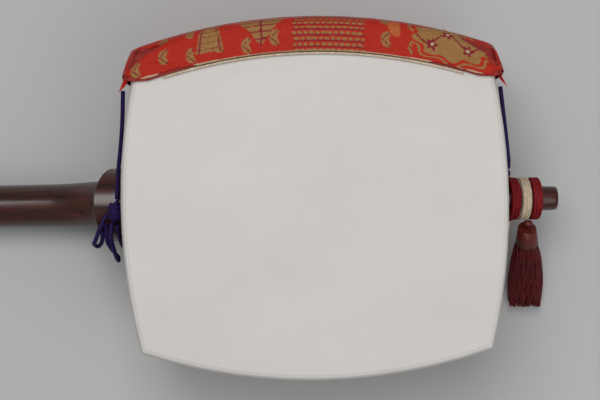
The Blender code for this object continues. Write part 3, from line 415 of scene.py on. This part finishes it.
class Tassel:
    """The silk tassel: threads that fill the outline of the CAD fringe."""

    threads = 260
    stations = 10
    thickness = 0.00045
    core = 0.8
    sides = 32

    def outline(self, y: float) -> tuple[float, float, float, float]:
        """The fringe's middle and half-widths in X and Z where the plane at y crosses it."""
        mesh = bpy.data.objects["tassel_fringe"].data
        found = []
        for edge in mesh.edges:
            a, b = (mesh.vertices[i].co for i in edge.vertices)
            if (a.y - y) * (b.y - y) < 0:
                found.append(a.lerp(b, (y - a.y) / (b.y - a.y)))
        low_x, high_x = min(p.x for p in found), max(p.x for p in found)
        low_z, high_z = min(p.z for p in found), max(p.z for p in found)
        return (low_x + high_x) / 2, (low_z + high_z) / 2, (high_x - low_x) / 2, (high_z - low_z) / 2

    def build(self) -> None:
        """Hangs the threads, each with its own wander and length."""
        low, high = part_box("tassel_fringe")
        span = high[1] - low[1]
        levels = [high[1] - span * (0.02 + 0.96 * i / (self.stations - 1)) for i in range(self.stations)]
        outlines = [self.outline(y) for y in levels]
        shape = bmesh.new()
        rings = []
        for y, (x, z, wide, high_half) in list(zip(levels, outlines))[:-2]:
            turns = [2 * math.pi * i / self.sides for i in range(self.sides)]
            places = [
                (x + math.cos(a) * wide * self.core, y, z + math.sin(a) * high_half * self.core) for a in turns
            ]
            rings.append([shape.verts.new(place) for place in places])
        for first, second in zip(rings, rings[1:]):
            for i in range(self.sides):
                j = (i + 1) % self.sides
                shape.faces.new((first[i], first[j], second[j], second[i]))
        shape.faces.new(reversed(rings[0]))
        shape.faces.new(rings[-1])
        draw = random.Random(5)
        for _ in range(self.threads):
            angle = draw.uniform(0, 2 * math.pi)
            out = draw.uniform(0.8, 0.96)
            wander = draw.uniform(-0.30, 0.30)
            last = self.stations
            short = draw.uniform(0, 0.0060)
            line = []
            for i in range(last):
                x, z, wide, high_half = outlines[i]
                a = angle + wander * math.sin(i * 0.8 + angle * 7)
                y = max(levels[i], levels[-1] + short) if i == last - 1 else levels[i]
                line.append(Vector((x + math.cos(a) * wide * out, y, z + math.sin(a) * high_half * out)))
            add_tube(shape, line, [self.thickness] * last, 5)
        bmesh.ops.recalc_face_normals(shape, faces=shape.faces)
        show(mesh_piece("tassel_threads", shape), WINE, "tassel", "tassel_fringe")


HEADING_REACH = 100
HEADING_STEP = 10


@dataclass(frozen=True)
class BandBraids:
    """The braided cords that lie side by side over one of the tailpiece's bands, round the tip."""

    node: str
    finish: Finish
    slot: str
    count: int
    lay: int = 4

    def build(self) -> None:
        """Lays each braid over the band's outer side, half sunk in it."""
        mesh = bpy.data.objects[self.node].data
        places = np.array([vertex.co for vertex in mesh.vertices])
        angle = np.degrees(np.arctan2(places[:, 1], places[:, 2] - TIP_Z))
        away = np.hypot(places[:, 1], places[:, 2] - TIP_Z)
        headings, reaches, lows, highs = [], [], [], []
        for heading in range(-HEADING_REACH, HEADING_REACH + 1, HEADING_STEP):
            near = np.abs(angle - heading) < 8
            if not near.any():
                continue
            reach = away[near].max()
            outer = places[near & (away > reach - 0.0012), 0]
            headings.append(heading)
            reaches.append(reach)
            lows.append(outer.min())
            highs.append(outer.max())
        fits = [np.polyfit(headings, values, 3) for values in (reaches, lows, highs)]
        shape = bmesh.new()
        for number in range(self.count):
            line = []
            for heading in range(headings[0], headings[-1] + 1, HEADING_STEP):
                reach, low, high = (np.polyval(fit, heading) for fit in fits)
                size = (high - low) / self.count
                turn = math.radians(heading)
                out = reach - size * 0.36
                across = low + (number + 0.5) * size - MIDDLE.x
                line.append(Vector((across, out * math.sin(turn), TIP_Z + out * math.cos(turn))))
            add_braid(shape, line, size * 0.98, self.lay, 2.2)
        show(mesh_piece(self.node + "_braids", shape), self.finish, self.slot)


BAND_BRAIDS = (
    BandBraids("neo_band_inner", RED, "red", 3), BandBraids("neo_band_outer", RED, "red", 3),
    BandBraids("neo_band_middle", CREAM, "cream", 3, 3),
)

GROUND = (0.54, 0.020, 0.006)
GOLD_THREAD = (0.40, 0.20, 0.060)
ORANGE_THREAD = (0.62, 0.13, 0.030)
CRIMSON = (0.26, 0.008, 0.022)
EDGE = (0.62, 0.46, 0.28)


class Brocade:
    """The arm rest's cloth, with its woven figures laid out along the rest (u) and across it (v)."""

    detail = 0.0006
    edge = 0.0005
    soft_from = 0.058
    softening = 70
    repeat = 0.026

    def colour(self, u: float, v: float) -> tuple[float, float, float]:
        """The thread colour at a place, with v measured outward from the cloth's inner edge."""
        if v < self.edge:
            return EDGE
        across = (v / self.repeat) % 1
        if 0.030 < u < 0.044 and (u - 0.042) ** 2 / 0.004**2 + (across - 0.6) ** 2 / 0.05 < 1:
            return GOLD_THREAD if math.sin(u * 4200) * math.sin(v * 4200) > 0.5 else ORANGE_THREAD
        if u > 0.050:
            heading = math.atan2(across - 0.5, (u - 0.070) * 22)
            cloud = math.hypot((u - 0.070) / 0.019, (across - 0.5) / 0.40) + 0.10 * math.sin(9 * heading)
            if cloud < 1:
                for x, y in ((0.060, 0.35), (0.068, 0.66), (0.078, 0.36), (0.083, 0.62)):
                    away = math.hypot(u - x, (across - y) * 0.022)
                    if away < 0.0030 * (0.75 + 0.25 * math.cos(5 * math.atan2((across - y) * 0.022, u - x))):
                        return EDGE if away < 0.0008 else CRIMSON
                if abs(across - 0.5 - 0.14 * math.sin(u * 300)) < 0.025:
                    return CRIMSON
                return GOLD_THREAD
            return GOLD_THREAD if cloud > 1.12 and cloud < 1.2 else GROUND
        fan = (across - 0.15) / 0.7
        if 0 < fan < 1 and abs(u + 0.026) < 0.013 * fan:
            return CRIMSON if (fan * 5) % 1 < 0.22 or abs(u + 0.026) < 0.0005 else GOLD_THREAD
        if -0.010 < u < 0.026:
            row = math.floor(across * 9)
            if (across * 9) % 1 < 0.45 and (u * 330 + row * 0.5) % 1 < 0.7:
                return GOLD_THREAD
            return CRIMSON if (across * 9) % 1 > 0.75 else GROUND
        if -0.060 < u < -0.044 and 0.2 < across < 0.8:
            bell = abs(u + 0.052) / (0.003 + 0.005 * (1 - across))
            if bell < 1:
                return CRIMSON if 0.7 < bell < 0.85 or (across * 8) % 1 < 0.15 else GOLD_THREAD
            return GROUND
        column = math.floor(u / 0.014)
        x = u - (column + 0.5) * 0.014
        for middle in (0.30, 0.80):
            y = (across - middle + 0.10 * (column % 2)) * self.repeat
            for side in (-1, 1):
                along = x * 0.7 + side * y * 0.7
                off = side * x * 0.7 - y * 0.7
                if along > -0.0008 and abs(off) < 0.0019 * (1 - ((along - 0.0022) / 0.0034) ** 2):
                    return CRIMSON if abs(off) < 0.0003 else GOLD_THREAD
        return GROUND

    def build(self) -> None:
        """Divides a copy of the cloth finely and gives each point its thread colour."""
        shape = bmesh.new()
        shape.from_mesh(bpy.data.objects["rest_brocade"].data)
        bmesh.ops.remove_doubles(shape, verts=shape.verts, dist=0.00002)
        for _ in range(7):
            long = [edge for edge in shape.edges if edge.calc_length() > self.detail * 1.6]
            if not long:
                break
            bmesh.ops.subdivide_edges(shape, edges=long, cuts=1)
            bmesh.ops.triangulate(shape, faces=shape.faces)
        ends = [vert for vert in shape.verts if abs(vert.co.x - MIDDLE.x) > self.soft_from]
        for _ in range(self.softening):
            bmesh.ops.smooth_vert(
                shape, verts=ends, factor=0.5, use_axis_x=True, use_axis_y=True, use_axis_z=True
            )
        piece = mesh_piece("rest_brocade_woven", shape)
        piece.data.set_sharp_from_angle(angle=math.radians(50))
        mesh = piece.data
        woven = mesh.color_attributes.new("woven", "FLOAT_COLOR", "POINT")
        places = np.array([(v.co.x - MIDDLE.x, v.co.y - v.co.z) for v in mesh.vertices])
        bins = np.round(places[:, 0] / 0.003).astype(int)
        inner = [(b * 0.003, places[bins == b, 1].min()) for b in np.unique(bins) if abs(b * 0.003) < 0.085]
        line = np.polyfit(*np.array(inner).T, 4)
        for vertex, (u, v) in zip(mesh.vertices, places):
            woven.data[vertex.index].color = (*self.colour(u, v - np.polyval(line, u)), 1)
        show(piece, BROCADE, "brocade", "rest_brocade")


class Studio:
    """The floor, the soft lights and the camera straight above the body."""

    camera_at = (0.3659, 0.0011, 0.802)
    camera_turn = -0.88
    lens = 83.2
    panels = (("key", (0.22, 0.42, 1.25), 0.7, 7.5), ("fill", (0.75, -0.45, 1.0), 0.9, 3))
    floor_colour = (0.56, 0.56, 0.55, 1)
    sky_colour = (0.80, 0.83, 0.88, 1)
    sky_strength = 0.30

    def panel(self, name: str, at: tuple, size: float, power: float) -> None:
        """Adds one square soft light aimed at the body."""
        light = bpy.data.lights.new(name, "AREA")
        light.size = size
        light.energy = power
        lamp = bpy.data.objects.new(name, light)
        bpy.context.scene.collection.objects.link(lamp)
        lamp.location = at
        lamp.rotation_euler = (MIDDLE - Vector(at)).to_track_quat("-Z", "Y").to_euler()

    def build(self) -> None:
        """Sets the stage round the object."""
        bpy.ops.mesh.primitive_plane_add(size=8, location=(0, 0, CAD_BOX[0].z))
        floor = bpy.context.object
        floor.name = "floor"
        paint = bpy.data.materials.new("pale floor")
        paint.use_nodes = True
        paint.node_tree.nodes["Principled BSDF"].inputs["Base Color"].default_value = self.floor_colour
        paint.node_tree.nodes["Principled BSDF"].inputs["Roughness"].default_value = 0.9
        floor.data.materials.append(paint)
        for panel in self.panels:
            self.panel(*panel)
        world = bpy.data.worlds.new("studio")
        world.use_nodes = True
        world.node_tree.nodes["Background"].inputs["Color"].default_value = self.sky_colour
        world.node_tree.nodes["Background"].inputs["Strength"].default_value = self.sky_strength
        scene = bpy.context.scene
        scene.world = world
        lens = bpy.data.cameras.new("camera")
        lens.lens = self.lens
        camera = bpy.data.objects.new("camera", lens)
        scene.collection.objects.link(camera)
        camera.location = self.camera_at
        camera.rotation_euler = (0, 0, math.radians(self.camera_turn))
        scene.camera = camera
        scene.view_settings.view_transform = "Standard"


REFINISHED = (
    ("upper_neck", ROSEWOOD, "rosewood"),
    ("middle_neck", ROSEWOOD, "rosewood"),
    ("lower_neck", ROSEWOOD, "rosewood"),
    ("neo_band_inner", RED, "red"),
    ("neo_band_outer", RED, "red"),
    ("neo_band_middle", CREAM, "cream"),
    ("neo_bar", RED, "red"),
    ("tassel_head", NETTED, "tassel"),
    ("tassel_knot", NETTED, "tassel"),
    ("rest_cord_back", PURPLE, "purple"),
    ("rest_cord_front", PURPLE, "purple"),
    ("tip_cord_back", PURPLE, "purple"),
    ("tip_cord_front", PURPLE, "purple"),
    ("tip_cord_loop", PURPLE, "purple"),
    ("tip_cord_knot", PURPLE, "purple"),
    ("string_loop_1", STRING, "string"),
    ("string_loop_2", STRING, "string"),
    ("string_loop_3", STRING, "string"),
    ("front_piping", CREAM, "cream"),
    ("back_piping", CREAM, "cream"),
)


def finish_nodes() -> None:
    """Gives each CAD node its finish."""
    for name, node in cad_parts.items():
        finish = next((f for words, f in NODE_FINISHES if any(word in name for word in words)), QUINCE)
        for index in range(max(1, len(node.data.materials))):
            if node.data.materials:
                node.data.materials[index] = finish.material()
            else:
                node.data.materials.append(finish.material())


def main() -> None:
    """Builds every visible piece and the stage."""
    finish_nodes()
    for node, finish, slot in REFINISHED:
        show(refined(node, 1, 40), finish, slot, node)
    for cord in FREE_CORDS:
        cord.build()
    Knot().build()
    for braids in BAND_BRAIDS:
        braids.build()
    Tassel().build()
    Brocade().build()
    Studio().build()


if __name__ == "__main__":
    main()
